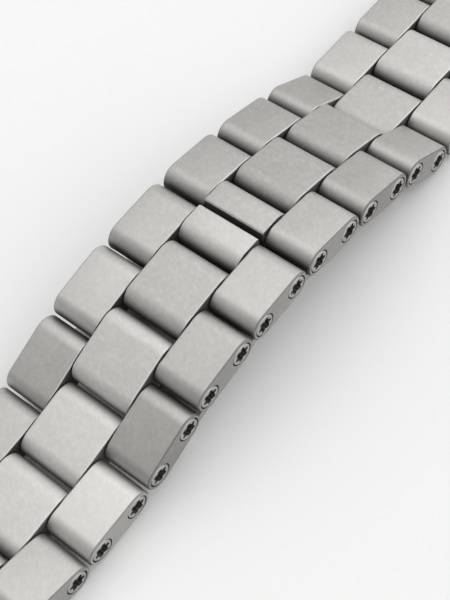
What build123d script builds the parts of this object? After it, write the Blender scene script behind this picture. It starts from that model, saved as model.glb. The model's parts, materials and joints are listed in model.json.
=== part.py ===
from build123d import *
import math
import os

# Link watch bracelet, three links wide, with a folding clasp hidden under its middle.
# X runs across the strap, Y along it and Z up. The origin lies on the table under the middle of the clasp.
# The lower strand lies towards -Y, the upper one towards +Y, and rows are numbered from the clasp outwards.

os.makedirs("parts", exist_ok=True)

# Strap
strap_width = 20.0
centre_column = 8.0
column_gap = 0.1
outer_pitch = 5.35
centre_pitch = 3.85
outer_thickness = 3.6
centre_thickness = 3.8
centre_overhang = 0.59
rim_break = 0.15

# Link tubes and their screws
tube_radius = 1.0
tube_bore_radius = 0.62
tube_seat_depth = 2.6
screw_head_radius = 1.27
screw_head_height = 0.9
screw_shank_radius = 0.6
screw_shank_setback = 0.65
head_ring = 0.12
head_break = 0.08
lobe_count = 6
recess_radius = 1.0
recess_lobe_radius = 0.28
recess_depth = 0.55

# End links and spring bars
end_body_start = 2.1
end_link_length = 6.5
end_side_gap = 0.1
bar_radius = 0.9
bar_bore_radius = 0.69
bar_recess = 2.3
tip_shank_radius = 0.65
tip_engagement = 2.4
tip_flange_radius = 0.82
tip_flange_width = 0.4
tip_travel = 1.1
tip_neck_radius = 0.66
pivot_radius = 0.45
pivot_break = 0.12

# Clasp
split_height = 9.5
split_pitch = 3.9
split_gap = 0.64
split_edge_radius = 0.35
strap_clearance = 0.8
arm_shoulder = 0.9
arm_thickness = 0.9
arm_gap = 0.15
bridge_width = 15.0
bridge_thickness = 1.1
knuckle_radius = 1.25
knuckle_width = 15.8
knuckle_setback = 0.83
tongue_width = 9.6
clasp_pin_radius = 0.6
stud_radius = 0.8
stud_reach = 2.8
slot_spare = 0.5
plate_corner = 0.8

# Clearances
running_gap = 0.04
fit_gap = 0.02
swing_gap = 0.25
overrun = 1.0

# Rest pose: slope of each link in degrees, going outwards from the clasp, negative where it goes down.
# Rows and centre links take turns, and the last value is the end link's.
lower_slope_angles = [-3.5, -7.5, -11.5, -22, -24, -13.5, -6, -8, 13, -6, -9, -1]
upper_slope_angles = [-8, -11.5, -15.5, -18.5, -28.5, -4.5, 0, -4, 0, -2, -1, 0]


# Hinge points (y, z) of one strand, from the clasp outwards.
def strand_hinges(side, slopes):
    y = side * split_pitch / 2
    z = split_height
    hinges = [(y, z)]
    for number, slope in enumerate(slopes[:-1]):
        length = outer_pitch if number % 2 == 0 else centre_pitch
        y += side * length * math.cos(math.radians(slope))
        z += length * math.sin(math.radians(slope))
        hinges.append((y, z))
    return hinges


# Sizes that follow from the ones above
outer_half = outer_thickness / 2
centre_half = centre_thickness / 2
outer_face = strap_width / 2
outer_inner_face = centre_column / 2 + column_gap / 2
centre_side = centre_column / 2 - column_gap / 2
end_side = strap_width / 2 - end_side_gap
tube_half = outer_inner_face + tube_seat_depth
screw_shank_length = outer_face - screw_head_height - outer_inner_face - screw_shank_setback
bar_tube_half = end_side - bar_recess
knuckle_reach = strand_hinges(1, upper_slope_angles)[4][0] - knuckle_setback
arm_width = knuckle_width + 2 * arm_shoulder
arch_top = split_height - centre_half - strap_clearance
arm_end_top = 2 * knuckle_radius + arm_thickness / 2
arch_rise = arch_top - arm_end_top
arch_radius = (knuckle_reach**2 + arch_rise**2) / (2 * arch_rise)
arch_centre = arch_top - arch_radius
bridge_radius = arch_radius - arm_thickness - arm_gap
bridge_underside = arch_centre + bridge_radius - bridge_thickness
plate_reach = knuckle_reach - knuckle_radius - swing_gap


# Plane across the strap at a hinge: its own x runs outwards along the link, and it extrudes towards +X.
def link_plane(hinge, slope, side, x):
    along = (0, side * math.cos(math.radians(slope)), math.sin(math.radians(slope)))
    return Plane(origin=(x, hinge[0], hinge[1]), x_dir=along, z_dir=(1, 0, 0))


# Labels a finished piece and writes it.
def write_piece(piece, name):
    piece.part.label = name
    export_step(piece.part, f"parts/{name}.step")


# Both outer links of a row: full round ends about the tubes, bored for tube and screws from both ends.
def make_outer_links(name, hinge, slope, side):
    tube_places = [(0, 0), (outer_pitch, 0)]
    with BuildPart() as outer_links:
        with BuildSketch(link_plane(hinge, slope, side, outer_inner_face)):
            with Locations((outer_pitch / 2, 0)):
                SlotCenterToCenter(outer_pitch, outer_thickness)
        extrude(amount=outer_face - outer_inner_face)
        chamfer(outer_links.faces().filter_by(Axis.X).edges(), length=rim_break)
        with BuildSketch(link_plane(hinge, slope, side, outer_inner_face)):
            with Locations(*tube_places):
                Circle(tube_radius + fit_gap)
        extrude(amount=tube_seat_depth + fit_gap, mode=Mode.SUBTRACT)
        with BuildSketch(link_plane(hinge, slope, side, outer_inner_face)):
            with Locations(*tube_places):
                Circle(screw_shank_radius + running_gap)
        extrude(amount=outer_face - outer_inner_face, mode=Mode.SUBTRACT)
        with BuildSketch(link_plane(hinge, slope, side, outer_face - screw_head_height - fit_gap)):
            with Locations(*tube_places):
                Circle(screw_head_radius + head_ring)
        extrude(amount=screw_head_height + overrun, mode=Mode.SUBTRACT)
        mirror(about=Plane.YZ)
    write_piece(outer_links, name)


# The four screws of a row: flat heads with a six-lobed recess, two from each side of the strap.
def make_link_screws(name, hinge, slope, side):
    screw_places = [(0, 0), (outer_pitch, 0)]
    lobe_ring = recess_radius - recess_lobe_radius
    with BuildPart() as link_screws:
        with BuildSketch(link_plane(hinge, slope, side, outer_face - screw_head_height)):
            with Locations(*screw_places):
                Circle(screw_head_radius)
        extrude(amount=screw_head_height)
        chamfer(link_screws.faces().sort_by(Axis.X)[-2:].edges(), length=head_break)
        with BuildSketch(link_plane(hinge, slope, side, outer_face - recess_depth)):
            with Locations(*screw_places):
                Circle(lobe_ring)
                with PolarLocations(lobe_ring, lobe_count):
                    Circle(recess_lobe_radius)
        extrude(amount=recess_depth + overrun, mode=Mode.SUBTRACT)
        with BuildSketch(link_plane(hinge, slope, side, outer_face - screw_head_height)):
            with Locations(*screw_places):
                Circle(screw_shank_radius)
        extrude(amount=-screw_shank_length)
        mirror(about=Plane.YZ)
    write_piece(link_screws, name)


# The two tubes of a row, on which the centre links turn.
def make_link_tubes(name, hinge, slope, side):
    with BuildPart() as link_tubes:
        with BuildSketch(link_plane(hinge, slope, side, -tube_half)):
            with Locations((0, 0), (outer_pitch, 0)):
                Circle(tube_radius)
                Circle(tube_bore_radius, mode=Mode.SUBTRACT)
        extrude(amount=2 * tube_half)
    write_piece(link_tubes, name)


# One centre link: its round ends reach past the two tubes that it turns on.
def make_centre_link(name, hinge, slope, side):
    with BuildPart() as centre_link:
        with BuildSketch(link_plane(hinge, slope, side, -centre_side)):
            with Locations((centre_pitch / 2, 0)):
                SlotCenterToCenter(centre_pitch + 2 * centre_overhang, centre_thickness)
        extrude(amount=2 * centre_side)
        chamfer(centre_link.faces().filter_by(Axis.X).edges(), length=rim_break)
        with BuildSketch(link_plane(hinge, slope, side, -centre_side)):
            with Locations((0, 0), (centre_pitch, 0)):
                Circle(tube_radius + running_gap)
        extrude(amount=2 * centre_side, mode=Mode.SUBTRACT)
    write_piece(centre_link, name)


# Half link at the split: a centre link cut off square at the middle, with a foot down to its clasp arm.
def make_half_link(name, side):
    hinge_y = side * split_pitch / 2
    round_y = hinge_y + side * centre_overhang
    face_y = side * split_gap / 2
    block_length = abs(round_y - face_y)
    block_y = (round_y + face_y) / 2
    foot_height = centre_half + strap_clearance + arm_thickness
    with BuildPart() as half_link:
        with BuildSketch(Plane.YZ.offset(-centre_side)) as profile:
            with Locations((round_y, split_height)):
                Circle(centre_half)
            with Locations((block_y, split_height)):
                Rectangle(block_length, centre_thickness)
            fillet(profile.vertices().group_by(Axis.X)[-1 if side < 0 else 0], radius=split_edge_radius)
            with Locations((block_y, split_height - foot_height / 2)):
                Rectangle(block_length, foot_height)
            with Locations((0, arch_centre)):
                Circle(arch_radius + fit_gap, mode=Mode.SUBTRACT)
            with Locations((hinge_y, split_height)):
                Circle(tube_radius + running_gap, mode=Mode.SUBTRACT)
        extrude(amount=2 * centre_side)
    write_piece(half_link, name)


# End link: a tongue on the last row's tube, and a full-width bar housing that stands between the lugs.
def make_end_link(name, hinge, slope, side):
    with BuildPart() as end_link:
        with BuildSketch(link_plane(hinge, slope, side, -end_side)):
            with Locations(((end_body_start + end_link_length) / 2, 0)):
                Rectangle(end_link_length - end_body_start, outer_thickness)
            with Locations((end_link_length, 0)):
                Circle(outer_half)
        extrude(amount=2 * end_side)
        chamfer(end_link.faces().filter_by(Axis.X).edges(), length=rim_break)
        with BuildSketch(link_plane(hinge, slope, side, -centre_side)):
            with Locations((-centre_overhang, 0)):
                Circle(outer_half)
            with Locations(((end_body_start + rim_break - centre_overhang) / 2, 0)):
                Rectangle(end_body_start + rim_break + centre_overhang, outer_thickness)
            Circle(tube_radius + running_gap, mode=Mode.SUBTRACT)
        extrude(amount=2 * centre_side)
        with BuildSketch(link_plane(hinge, slope, side, -end_side)):
            with Locations((end_link_length, 0)):
                Circle(bar_radius + fit_gap)
        extrude(amount=2 * end_side, mode=Mode.SUBTRACT)
    write_piece(end_link, name)


# Spring bar tube inside the end link.
def make_bar_tube(name, hinge, slope, side):
    with BuildPart() as bar_tube:
        with BuildSketch(link_plane(hinge, slope, side, -bar_tube_half)):
            with Locations((end_link_length, 0)):
                Circle(bar_radius)
                Circle(bar_bore_radius, mode=Mode.SUBTRACT)
        extrude(amount=2 * bar_tube_half)
    write_piece(bar_tube, name)


# One sprung tip of a spring bar: a shank in the tube, a flange, a neck that ends at the lug and a pivot.
def make_bar_tip(name, hinge, slope, side, across):
    flange_face = bar_tube_half + tip_travel + swing_gap / 2
    pivot_end = end_side + tip_travel
    lengths = [
        (tip_shank_radius, bar_tube_half - tip_engagement, flange_face),
        (tip_flange_radius, flange_face, flange_face + tip_flange_width),
        (tip_neck_radius, flange_face + tip_flange_width, outer_face),
        (pivot_radius, outer_face, pivot_end),
    ]
    with BuildPart() as bar_tip:
        for radius, start, end in lengths:
            with BuildSketch(link_plane(hinge, slope, side, across * start)):
                with Locations((end_link_length, 0)):
                    Circle(radius)
            extrude(amount=across * (end - start))
        far_faces = bar_tip.faces().filter_by(Axis.X).sort_by(Axis.X)
        far_face = far_faces[-1] if across > 0 else far_faces[0]
        chamfer(far_face.edges(), length=pivot_break)
    write_piece(bar_tip, name)


# Clasp arm: an arched plate under the strand, with two knuckles at its end and a catch stud at the split.
def make_clasp_arm(name, side):
    notch_length = knuckle_reach - plate_reach + knuckle_radius + overrun
    notch_middle = side * (plate_reach + notch_length / 2)
    stud_height = arch_top - bridge_underside - arm_thickness / 2
    with BuildPart() as clasp_arm:
        for width, reach in ((arm_width, plate_reach), (knuckle_width, knuckle_reach)):
            plate_length = reach - split_gap / 2
            with BuildSketch(Plane.YZ.offset(-width / 2)):
                with Locations((0, arch_centre)):
                    Circle(arch_radius)
                    Circle(arch_radius - arm_thickness, mode=Mode.SUBTRACT)
                with Locations((side * (reach + split_gap / 2) / 2, arch_top)):
                    Rectangle(plate_length, 2 * arch_top, mode=Mode.INTERSECT)
            extrude(amount=width)
        with BuildSketch(Plane.YZ.offset(-knuckle_width / 2)):
            with Locations((side * knuckle_reach, knuckle_radius)):
                Circle(knuckle_radius)
        extrude(amount=knuckle_width)
        with BuildSketch(Plane.XY):
            with Locations((0, notch_middle)):
                Rectangle(tongue_width + 2 * column_gap, notch_length)
        extrude(amount=2 * arch_top, mode=Mode.SUBTRACT)
        with BuildSketch(Plane.XY.offset(bridge_underside)):
            with Locations((0, side * stud_reach)):
                Circle(stud_radius)
        extrude(amount=stud_height)
        with BuildSketch(Plane.YZ.offset(-knuckle_width / 2)):
            with Locations((side * knuckle_reach, knuckle_radius)):
                Circle(clasp_pin_radius + running_gap)
        extrude(amount=knuckle_width, mode=Mode.SUBTRACT)
        edges = clasp_arm.edges()
        side_edges = edges.filter_by(lambda edge: abs(abs(edge.center().X) - arm_width / 2) < fit_gap)
        tip_edges = side_edges.filter_by(lambda edge: abs(abs(edge.center().Y) - split_gap / 2) < fit_gap)
        fillet(tip_edges, radius=plate_corner)
    write_piece(clasp_arm, name)


# Clasp bridge: the arched plate between the two arm hinges, with a middle tongue and knuckle at each end.
def make_clasp_bridge():
    with BuildPart() as clasp_bridge:
        for width, reach in ((bridge_width, plate_reach), (tongue_width, knuckle_reach)):
            with BuildSketch(Plane.YZ.offset(-width / 2)):
                with Locations((0, arch_centre)):
                    Circle(bridge_radius)
                    Circle(bridge_radius - bridge_thickness, mode=Mode.SUBTRACT)
                with Locations((0, arch_top)):
                    Rectangle(2 * reach, 2 * arch_top, mode=Mode.INTERSECT)
            extrude(amount=width)
        with BuildSketch(Plane.YZ.offset(-tongue_width / 2)):
            with Locations((-knuckle_reach, knuckle_radius), (knuckle_reach, knuckle_radius)):
                Circle(knuckle_radius)
        extrude(amount=tongue_width)
        with BuildSketch(Plane.YZ.offset(-tongue_width / 2)):
            with Locations((-knuckle_reach, knuckle_radius), (knuckle_reach, knuckle_radius)):
                Circle(clasp_pin_radius + fit_gap)
        extrude(amount=tongue_width, mode=Mode.SUBTRACT)
        with BuildSketch(Plane.XY):
            with Locations((0, -stud_reach), (0, stud_reach)):
                SlotOverall(2 * (stud_radius + slot_spare), 2 * (stud_radius + running_gap), rotation=90)
        extrude(amount=arch_top, mode=Mode.SUBTRACT)
    write_piece(clasp_bridge, "clasp_bridge")


# The two clasp hinge pins.
def make_clasp_pins():
    with BuildPart() as clasp_pins:
        with BuildSketch(Plane.YZ.offset(-knuckle_width / 2)):
            with Locations((-knuckle_reach, knuckle_radius), (knuckle_reach, knuckle_radius)):
                Circle(clasp_pin_radius)
        extrude(amount=knuckle_width)
    write_piece(clasp_pins, "clasp_hinge_pins")


make_clasp_bridge()
make_clasp_pins()

for strand, side, slopes in (("lower", -1, lower_slope_angles), ("upper", 1, upper_slope_angles)):
    hinges = strand_hinges(side, slopes)
    make_clasp_arm(f"{strand}_clasp_arm", side)
    make_half_link(f"{strand}_half_link", side)
    for number in range(len(slopes) - 1):
        count = number // 2 + 1
        hinge = hinges[number]
        slope = slopes[number]
        if number % 2 == 0:
            make_outer_links(f"{strand}_outer_links_{count}", hinge, slope, side)
            make_link_screws(f"{strand}_link_screws_{count}", hinge, slope, side)
            make_link_tubes(f"{strand}_link_tubes_{count}", hinge, slope, side)
        else:
            make_centre_link(f"{strand}_centre_link_{count}", hinge, slope, side)
    make_end_link(f"{strand}_end_link", hinges[-1], slopes[-1], side)
    make_bar_tube(f"{strand}_spring_bar_tube", hinges[-1], slopes[-1], side)
    make_bar_tip(f"{strand}_bar_tip_left", hinges[-1], slopes[-1], side, -1)
    make_bar_tip(f"{strand}_bar_tip_right", hinges[-1], slopes[-1], side, 1)
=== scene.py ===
import bpy
import json
import math
from mathutils import Matrix, Vector

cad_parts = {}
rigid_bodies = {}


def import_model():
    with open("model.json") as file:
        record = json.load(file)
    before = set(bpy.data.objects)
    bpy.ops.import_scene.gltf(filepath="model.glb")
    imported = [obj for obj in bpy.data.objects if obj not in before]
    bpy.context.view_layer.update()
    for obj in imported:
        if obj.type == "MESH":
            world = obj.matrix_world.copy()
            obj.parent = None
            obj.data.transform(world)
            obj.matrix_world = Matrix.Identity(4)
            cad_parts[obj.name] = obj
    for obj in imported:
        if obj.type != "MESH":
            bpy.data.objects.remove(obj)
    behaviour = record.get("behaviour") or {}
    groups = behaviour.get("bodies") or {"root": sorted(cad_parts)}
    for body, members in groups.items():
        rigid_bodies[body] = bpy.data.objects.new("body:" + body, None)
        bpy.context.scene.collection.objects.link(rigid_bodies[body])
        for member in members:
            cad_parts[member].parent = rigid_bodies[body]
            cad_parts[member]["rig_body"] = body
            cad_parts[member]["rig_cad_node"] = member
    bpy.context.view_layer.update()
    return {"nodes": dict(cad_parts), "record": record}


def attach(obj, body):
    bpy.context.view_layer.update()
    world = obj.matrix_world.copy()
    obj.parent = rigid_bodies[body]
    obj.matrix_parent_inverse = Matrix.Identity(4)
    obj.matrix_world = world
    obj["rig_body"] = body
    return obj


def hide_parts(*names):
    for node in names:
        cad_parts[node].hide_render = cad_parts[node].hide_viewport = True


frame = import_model()
nodes = frame["nodes"]
bodies = frame["record"]["behaviour"]["bodies"]
slotOf = {row["node"]: row["material_slot"] for row in frame["record"]["subparts"]}
mm = 0.001


# Materials. A Wire is one output of a node, and sums on wires add the Math nodes.
class Wire:
    def __init__(self, tree, socket):
        self.tree = tree
        self.socket = socket

    def make(self, kind, sockets, output=0, **settings):
        node = self.tree.nodes.new(kind)
        for name, value in settings.items():
            if name == "ramp":
                fillRamp(node.color_ramp, value)
            else:
                setattr(node, name, value)
        for name, value in sockets.items():
            plug = node.inputs[name]
            if isinstance(value, Wire):
                self.tree.links.new(value.socket, plug)
            else:
                plug.default_value = value
        return Wire(self.tree, node.outputs[output] if node.outputs else None)

    def sum(self, operation, first, second):
        return self.make("ShaderNodeMath", {0: first, 1: second}, operation=operation)

    def __add__(self, other):
        return self.sum("ADD", self, other)

    def __radd__(self, other):
        return self.sum("ADD", other, self)

    def __sub__(self, other):
        return self.sum("SUBTRACT", self, other)

    def __rsub__(self, other):
        return self.sum("SUBTRACT", other, self)

    def __mul__(self, other):
        return self.sum("MULTIPLY", self, other)

    def __rmul__(self, other):
        return self.sum("MULTIPLY", other, self)


def fillRamp(ramp, stops):
    while len(ramp.elements) < len(stops):
        ramp.elements.new(1.0)
    for element, (place, shade) in zip(ramp.elements, stops):
        element.position = place
        element.color = (shade, shade, shade, 1.0)


def newMaterial(name):
    material = bpy.data.materials.new(name)
    material.use_nodes = True
    tree = material.node_tree
    shader = tree.nodes["Principled BSDF"]
    place = tree.nodes.new("ShaderNodeTexCoord")
    return material, shader, Wire(tree, place.outputs["Object"])


def plugIn(wire, shader, name):
    wire.tree.links.new(wire.socket, shader.inputs[name])


def noise(place, scale, detail):
    return place.make("ShaderNodeTexNoise", {"Vector": place, "Scale": scale, "Detail": detail})


def painted(place, name):
    return place.make("ShaderNodeAttribute", {}, output="Fac", attribute_name=name)


def mixColour(place, factor, first, second):
    # a Mix node takes its colours at 6 and 7, and gives the mixed one at 2
    sockets = {0: factor, 6: first, 7: second}
    return place.make("ShaderNodeMix", sockets, output=2, data_type="RGBA", clamp_factor=False)


# Satin steel: a fine blasted grain, faint clouds and mottle, and hand scuffs that run one way.
# Painted shade on gap walls, sides, rims and screw rings, a painted highlight on the broken inner edges
# that is partly rubbed wear, and each link's tone, partly painted reflection, follow attributes that are
# painted on the links.
def satinSteel(name, look):
    material, shader, place = newMaterial(name)
    shader.inputs["Metallic"].default_value = 1.0
    grain = noise(place, look["grainScale"], look["grainDetail"])
    clouds = noise(place, look["cloudScale"], look["cloudDetail"])
    mottle = noise(place, look["mottleScale"], look["mottleDetail"])
    turned = place.make(
        "ShaderNodeMapping",
        {"Vector": place, "Rotation": (0.0, 0.0, look["scuffTurn"]), "Scale": look["scuffStretch"]},
        vector_type="TEXTURE",
    )
    streaks = noise(turned, look["scuffScale"], look["scuffDetail"])
    scuffs = place.make("ShaderNodeValToRGB", {"Fac": streaks}, ramp=look["scuffRamp"])
    paintedShadeMask = painted(place, "gapShade")
    edge = painted(place, "edgeShine")
    link = painted(place, "linkTone")
    tone = clouds * look["cloudTone"] + mottle * look["mottleTone"] + grain * look["grainTone"]
    # each link's tone, partly painted reflection
    tone = tone + scuffs * mottle * look["scuffTone"] + link
    steel = mixColour(place, tone, look["dark"], look["light"])
    # painted shade: the steel colour is darkened towards the shade colour where the painted shade mask
    # is set
    withPaintedShade = mixColour(place, paintedShadeMask * look["paintedShadeCover"], steel, look["paintedShadeColour"])
    # painted highlight, partly rubbed wear: a lighter colour on the broken inner edges
    rubbedAndHighlit = mixColour(place, edge * look["edgeCover"], withPaintedShade, look["edgeColour"])
    plugIn(rubbedAndHighlit, shader, "Base Color")
    rough = look["roughness"] + clouds * look["cloudRough"] + grain * look["grainRough"]
    rough = rough + paintedShadeMask * look["gapRough"] - edge * look["edgeSmooth"]
    plugIn(rough, shader, "Roughness")
    height = grain * look["grainHeight"] + scuffs * look["scuffHeight"]
    bump = {"Height": height, "Strength": look["bump"], "Distance": look["bumpDepth"]}
    plugIn(place.make("ShaderNodeBump", bump), shader, "Normal")
    return material


satinLook = {
    "dark": (0.345, 0.339, 0.327, 1.0),
    "light": (0.564, 0.557, 0.538, 1.0),
    "roughness": 0.42,
    "grainScale": 7000.0,
    "grainDetail": 2.0,
    "grainTone": 0.4,
    "grainRough": 0.08,
    "grainHeight": 0.7,
    "cloudScale": 420.0,
    "cloudDetail": 4.0,
    "cloudTone": 0.35,
    "cloudRough": 0.08,
    "mottleScale": 1700.0,
    "mottleDetail": 2.0,
    "mottleTone": 0.28,
    "scuffScale": 900.0,
    "scuffDetail": 3.0,
    "scuffTurn": math.radians(-60),
    "scuffStretch": (0.8, 0.16, 0.16),
    "scuffRamp": [(0.0, 0.0), (0.42, 0.0), (0.7, 1.0), (1.0, 1.0)],
    "scuffTone": 0.3,
    "scuffHeight": 0.25,
    "bump": 0.3,
    "bumpDepth": 0.02 * mm,
    # painted shade on gap walls, sides, rims and screw rings: its share and its colour
    "paintedShadeCover": 0.85,
    "paintedShadeColour": (0.04, 0.039, 0.038, 1.0),
    "gapRough": 0.12,
    # painted highlight on the broken inner edges, partly rubbed wear: its share and its colour
    "edgeCover": 0.1,
    "edgeColour": (0.85, 0.845, 0.83, 1.0),
    "edgeSmooth": 0.1,
}
centreLook = dict(
    satinLook,
    dark=(0.397, 0.39, 0.375, 1.0),
    light=(0.632, 0.624, 0.604, 1.0),
    roughness=0.55,
    scuffTurn=math.radians(-30),
    scuffTone=0.4,
    scuffHeight=0.35,
)
claspLook = dict(
    satinLook,
    dark=(0.31, 0.306, 0.297, 1.0),
    light=(0.46, 0.454, 0.443, 1.0),
    roughness=0.32,
    scuffTurn=0.0,
)
turnedLook = dict(satinLook, roughness=0.24, grainTone=0.2, scuffTone=0.0, scuffHeight=0.0, bump=0.12)
# painted shade inside the screws' drive recesses
recessShadeLook = dict(
    turnedLook,
    dark=(0.057, 0.057, 0.056, 1.0),
    light=(0.161, 0.159, 0.155, 1.0),
    roughness=0.35,
)

materials = {
    "outer_steel": satinSteel("satinOuterSteel", satinLook),
    "centre_steel": satinSteel("satinCentreSteel", centreLook),
    "end_steel": satinSteel("satinEndSteel", centreLook),
    "clasp_steel": satinSteel("claspPlateSteel", claspLook),
    "screw_steel": satinSteel("turnedScrewSteel", turnedLook),
    "pin_steel": satinSteel("groundPinSteel", turnedLook),
    "bar_steel": satinSteel("turnedBarSteel", turnedLook),
}
# the screws' drive recesses get painted shade
screwRecessShade = satinSteel("paintedShadeScrewRecess", recessShadeLook)
print("materials made:", len(materials) + 1)


# Each CAD node is dressed in a copy of itself whose hard edges are broken with a tiny round.
edgeRound = {
    "outer_steel": 0.07 * mm,
    "centre_steel": 0.07 * mm,
    "end_steel": 0.07 * mm,
    "clasp_steel": 0.05 * mm,
    "screw_steel": 0.025 * mm,
    "pin_steel": 0.03 * mm,
    "bar_steel": 0.03 * mm,
}
dressing = {
    "merge": 0.002 * mm,
    "flatAngle": math.radians(0.4),
    "bevelAngle": math.radians(28),
    "smoothAngle": math.radians(40),
    "segments": 2,
}


def selectOnly(piece):
    bpy.ops.object.select_all(action="DESELECT")
    piece.select_set(True)
    bpy.context.view_layer.objects.active = piece


def applyModifier(piece, kind, **settings):
    modifier = piece.modifiers.new(kind.lower(), kind)
    for name, value in settings.items():
        setattr(modifier, name, value)
    bpy.ops.object.modifier_apply(modifier=modifier.name)


def dressedCopy(name, node, slot):
    piece = nodes[node].copy()
    piece.data = nodes[node].data.copy()
    piece.name = name
    piece.parent = None
    piece.matrix_world = Matrix.Identity(4)
    for key in ("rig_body", "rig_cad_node"):  # a copy would still count as the CAD node
        if key in piece:
            del piece[key]
    bpy.context.scene.collection.objects.link(piece)
    selectOnly(piece)
    bpy.ops.object.mode_set(mode="EDIT")
    bpy.ops.mesh.select_all(action="SELECT")
    bpy.ops.mesh.remove_doubles(threshold=dressing["merge"])
    bpy.ops.mesh.dissolve_limited(angle_limit=dressing["flatAngle"])
    bpy.ops.object.mode_set(mode="OBJECT")
    applyModifier(
        piece,
        "BEVEL",
        width=edgeRound[slot],
        segments=dressing["segments"],
        limit_method="ANGLE",
        angle_limit=dressing["bevelAngle"],
    )
    bpy.ops.object.shade_smooth_by_angle(angle=dressing["smoothAngle"])
    piece.data.materials.clear()
    piece.data.materials.append(materials[slot])
    return piece


# Painted shade: dark where rounded ends turn down into a gap, on inner walls, at the split and in the
# rings round the screw heads, less dark on the open sides and their rims; a painted highlight, partly
# rubbed wear, on the broken inner edges.
paintedShadeAndSheen = {
    "halfThickness": {"outer_steel": 1.8 * mm, "centre_steel": 1.9 * mm, "end_steel": 1.8 * mm},
    "startDepth": 0.2,  # depths below the top, in half thicknesses: dark from the first to the second
    "fullDepth": 0.9,
    "fadeDepth": 1.4,  # and clean again from here to the next
    "cleanDepth": 1.9,
    "innerWall": 0.85,
    "openSide": 9.5 * mm,  # side faces this far from the strap's middle are open to the light
    "openShade": 0.35,
    "rim": 9.8 * mm,
    "rimShade": 0.67,
    "headRing": 9.0 * mm,  # the rings round the screw heads lie between here and the rim
    "ringWall": 0.9,
    "splitReach": 1.2 * mm,
    "splitWall": 0.97,
    "facesUp": 0.7,  # how much of a face's normal points up, then across in the next three, then along
    "facesAside": 0.9,
    "slantsAside": 0.25,
    "facesRound": 0.3,
    "facesAlong": 0.9,
}
# Links differ in tone as in the photograph, partly their own tone and partly painted reflection: left
# half, right half.
linkTone = {
    "lower_half_link": (0.35, 0.35),
    "lower_centre_link_2": (0.4, 0.4),
    "lower_centre_link_3": (0.55, 0.55),
    "lower_centre_link_4": (0.5, 0.5),
    "lower_outer_links_1": (0.0, 0.2),
    "lower_outer_links_2": (0.25, 0.05),
    "lower_outer_links_3": (0.05, -0.1),
    "lower_outer_links_4": (0.05, 0.7),
    "lower_outer_links_5": (0.25, 0.25),
    "upper_outer_links_1": (-0.1, 0.15),
    "upper_outer_links_2": (-0.15, -0.1),
    "upper_outer_links_3": (-0.15, 0.0),
    "upper_outer_links_4": (0.3, 0.4),
    "upper_centre_link_1": (-0.3, -0.3),
    "upper_centre_link_2": (-0.3, -0.3),
    "upper_centre_link_4": (0.3, 0.3),
}


def rise(low, high, value):
    share = min(max((value - low) / (high - low), 0.0), 1.0)
    return share * share * (3 - 2 * share)


def strapDirections(mesh):
    flats = [face for face in mesh.polygons if abs(face.normal.z) > paintedShadeAndSheen["facesUp"]]
    up = max(flats, key=lambda face: face.area).normal.copy()
    if up.z < 0:
        up.negate()
    return up, Vector((1, 0, 0)).cross(up)


def shadeByDepth(mesh, up, along, half):
    heights = [corner.co.dot(up) for corner in mesh.vertices]
    places = [corner.co.dot(along) for corner in mesh.vertices]
    top, low, high = max(heights), min(places), max(places)
    shades = []
    for height, place in zip(heights, places):
        depth = (top - height) / half
        atEnd = place < low + half or place > high - half
        shade = rise(paintedShadeAndSheen["startDepth"], paintedShadeAndSheen["fullDepth"], depth)
        shade *= 1 - rise(paintedShadeAndSheen["fadeDepth"], paintedShadeAndSheen["cleanDepth"], depth)
        shades.append(shade if atEnd else 0.0)
    return shades


def paintShadeAndSheen(piece, node, slot):
    mesh = piece.data
    up, along = strapDirections(mesh)
    depthShade = shadeByDepth(mesh, up, along, paintedShadeAndSheen["halfThickness"][slot])
    isHalfLink = node.endswith("half_link")
    leftToneAndReflection, rightToneAndReflection = linkTone.get(node, (0.0, 0.0))
    names = ("gapShade", "edgeShine", "linkTone")
    for name in names:
        mesh.attributes.new(name, "FLOAT", "CORNER")
    paintedShadeMask, edge, link = (mesh.attributes[name].data for name in names)
    for face in mesh.polygons:
        across = abs(face.normal.x)
        fromMiddle = abs(face.center.x)
        lengthwise = abs(face.normal.dot(along))
        onSide = across > paintedShadeAndSheen["facesAside"]
        onSlant = paintedShadeAndSheen["slantsAside"] < across <= paintedShadeAndSheen["facesAside"]
        onRim = fromMiddle > paintedShadeAndSheen["rim"] and onSlant
        inHeadRing = paintedShadeAndSheen["headRing"] < fromMiddle < paintedShadeAndSheen["rim"] and across < paintedShadeAndSheen["facesRound"]
        nearSplit = isHalfLink and abs(face.center.y) < paintedShadeAndSheen["splitReach"]
        for loop in face.loop_indices:
            shade = depthShade[mesh.loops[loop].vertex_index]
            if onSide:
                shade = paintedShadeAndSheen["openShade"] if fromMiddle > paintedShadeAndSheen["openSide"] else paintedShadeAndSheen["innerWall"]
            elif onRim:
                shade = max(shade, paintedShadeAndSheen["rimShade"])
            elif inHeadRing:
                shade = paintedShadeAndSheen["ringWall"]
            elif nearSplit and lengthwise > paintedShadeAndSheen["facesAlong"]:
                shade = paintedShadeAndSheen["splitWall"]
            # painted shade first, then a painted highlight that is partly rubbed wear, then the link's
            # tone, partly painted reflection
            paintedShadeMask[loop].value = shade
            edge[loop].value = 1.0 - shade if onSlant and not onRim else 0.0
            link[loop].value = leftToneAndReflection if face.center.x < 0 else rightToneAndReflection


# The drive recess of each screw is painted dark inside: painted shade.
recess = {
    "lip": 0.03 * mm,  # below the head's face
    "reach": 0.7 * mm,
    "radius": 1.06 * mm,
}


def screwCentres(piece, outside):
    rim = [corner.co for corner in piece.data.vertices if corner.co.x > outside - recess["lip"]]
    middle = sum(point.y for point in rim) / len(rim)
    nearer = [point for point in rim if point.y < middle]
    farther = [point for point in rim if point.y >= middle]
    centres = []
    for head in (nearer, farther):
        low = Vector((0, min(point.y for point in head), min(point.z for point in head)))
        high = Vector((0, max(point.y for point in head), max(point.z for point in head)))
        centres.append((low + high) / 2)
    return centres


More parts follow.
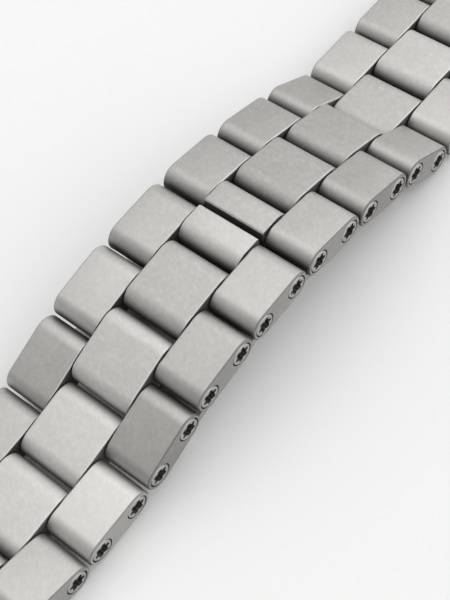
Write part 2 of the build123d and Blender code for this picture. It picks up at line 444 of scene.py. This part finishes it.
def paintRecessShade(piece):
    outside = max(abs(corner.co.x) for corner in piece.data.vertices)
    centres = screwCentres(piece, outside)
    piece.data.materials.append(screwRecessShade)
    for face in piece.data.polygons:
        middle = face.center
        deep = outside - recess["reach"] < abs(middle.x) < outside - recess["lip"]
        near = min((Vector((0, middle.y, middle.z)) - centre).length for centre in centres)
        if deep and near < recess["radius"]:
            face.material_index = 1


for body, members in bodies.items():
    for node in members:
        slot = slotOf[node]
        piece = dressedCopy(node + "_finished", node, slot)
        if slot == "screw_steel":
            paintRecessShade(piece)
        if slot in paintedShadeAndSheen["halfThickness"]:
            paintShadeAndSheen(piece, node, slot)
        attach(piece, body)
        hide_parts(node)
print("pieces dressed")


# Floor and light: a pale table under one soft light from behind on the left, in a pale room that is
# brightest behind, dimmer in front, and glows a little from the right.
studio = {
    "floorSize": 6.0,
    "floorColour": (0.84, 0.84, 0.84, 1.0),
    "floorRoughness": 0.7,
    "cloudColour": (1.0, 1.0, 1.0, 1.0),
    "cloudScale": 40.0,
    "cloudDetail": 2.0,
    "cloudCover": 0.08,
    "roomColour": (0.856, 0.856, 0.856, 1.0),
    "roomTowards": (-0.45, 0.70, 0.50),
    "roomRamp": [(0.0, 0.38), (0.45, 0.56), (0.72, 1.0), (1.0, 1.0)],
    "fillTowards": (0.85, 0.45, 0.30),
    "fillRamp": [(0.0, 0.0), (0.6, 0.0), (0.8, 0.75), (1.0, 1.0)],
    "keyPlace": (-0.215, 0.07, 0.486),
    "keySize": 0.42,
    "keyPower": 0.41,
    "keyColour": (1.0, 0.985, 0.96),
}


def makeFloor():
    bpy.ops.object.select_all(action="DESELECT")
    bpy.ops.mesh.primitive_plane_add(size=studio["floorSize"])
    floor = bpy.context.object
    floor.name = "studioFloor"
    material, shader, place = newMaterial("paleFloor")
    clouds = noise(place, studio["cloudScale"], studio["cloudDetail"])
    tone = mixColour(place, clouds * studio["cloudCover"], studio["floorColour"], studio["cloudColour"])
    plugIn(tone, shader, "Base Color")
    shader.inputs["Roughness"].default_value = studio["floorRoughness"]
    floor.data.materials.append(material)


def glow(around, towards, ramp):
    middle = Vector(towards).normalized()
    ends = {0: around, 1: middle}
    facing = around.make("ShaderNodeVectorMath", ends, output=1, operation="DOT_PRODUCT")
    share = facing * 0.5 + 0.5  # -1 to 1 becomes 0 to 1
    return around.make("ShaderNodeValToRGB", {"Fac": share}, ramp=ramp)


def makeRoom():
    world = bpy.data.worlds.new("studioRoom")
    bpy.context.scene.world = world
    world.use_nodes = True
    tree = world.node_tree
    tree.nodes.clear()
    around = Wire(tree, tree.nodes.new("ShaderNodeTexCoord").outputs["Generated"])
    wall = glow(around, studio["roomTowards"], studio["roomRamp"])
    fill = glow(around, studio["fillTowards"], studio["fillRamp"])
    room = around.make("ShaderNodeBackground", {"Color": studio["roomColour"], "Strength": wall + fill})
    around.make("ShaderNodeOutputWorld", {"Surface": room})


def makeKeyLight():
    lamp = bpy.data.lights.new("keySoftbox", "AREA")
    lamp.shape = "SQUARE"
    lamp.size = studio["keySize"]
    lamp.energy = studio["keyPower"]
    lamp.color = studio["keyColour"]
    softbox = bpy.data.objects.new("keySoftbox", lamp)
    bpy.context.scene.collection.objects.link(softbox)
    softbox.location = studio["keyPlace"]
    softbox.rotation_mode = "QUATERNION"
    softbox.rotation_quaternion = (-Vector(studio["keyPlace"])).to_track_quat("-Z", "Y")


makeFloor()
makeRoom()
makeKeyLight()
print("studio built")


# Camera: where the photograph was taken from, worked out from the links' edges and screws.
shot = {
    "place": (54.0 * mm, -52.3 * mm, 112.75 * mm),
    "right": (0.7745, 0.6252, -0.0964),
    "up": (-0.4903, 0.6896, 0.5327),
    "lens": 72.0,
    "sensor": 36.0,
    "nearest": 5 * mm,
}


def makeCamera():
    lens = bpy.data.cameras.new("photoCamera")
    lens.lens = shot["lens"]
    lens.sensor_width = shot["sensor"]
    lens.clip_start = shot["nearest"]
    camera = bpy.data.objects.new("photoCamera", lens)
    bpy.context.scene.collection.objects.link(camera)
    right = Vector(shot["right"]).normalized()
    back = right.cross(Vector(shot["up"])).normalized()
    up = back.cross(right)
    turn = Matrix((right, up, back)).transposed().to_4x4()
    camera.matrix_world = Matrix.Translation(shot["place"]) @ turn
    bpy.context.scene.camera = camera


makeCamera()
bpy.context.scene.view_settings.view_transform = "Standard"
print("camera placed")
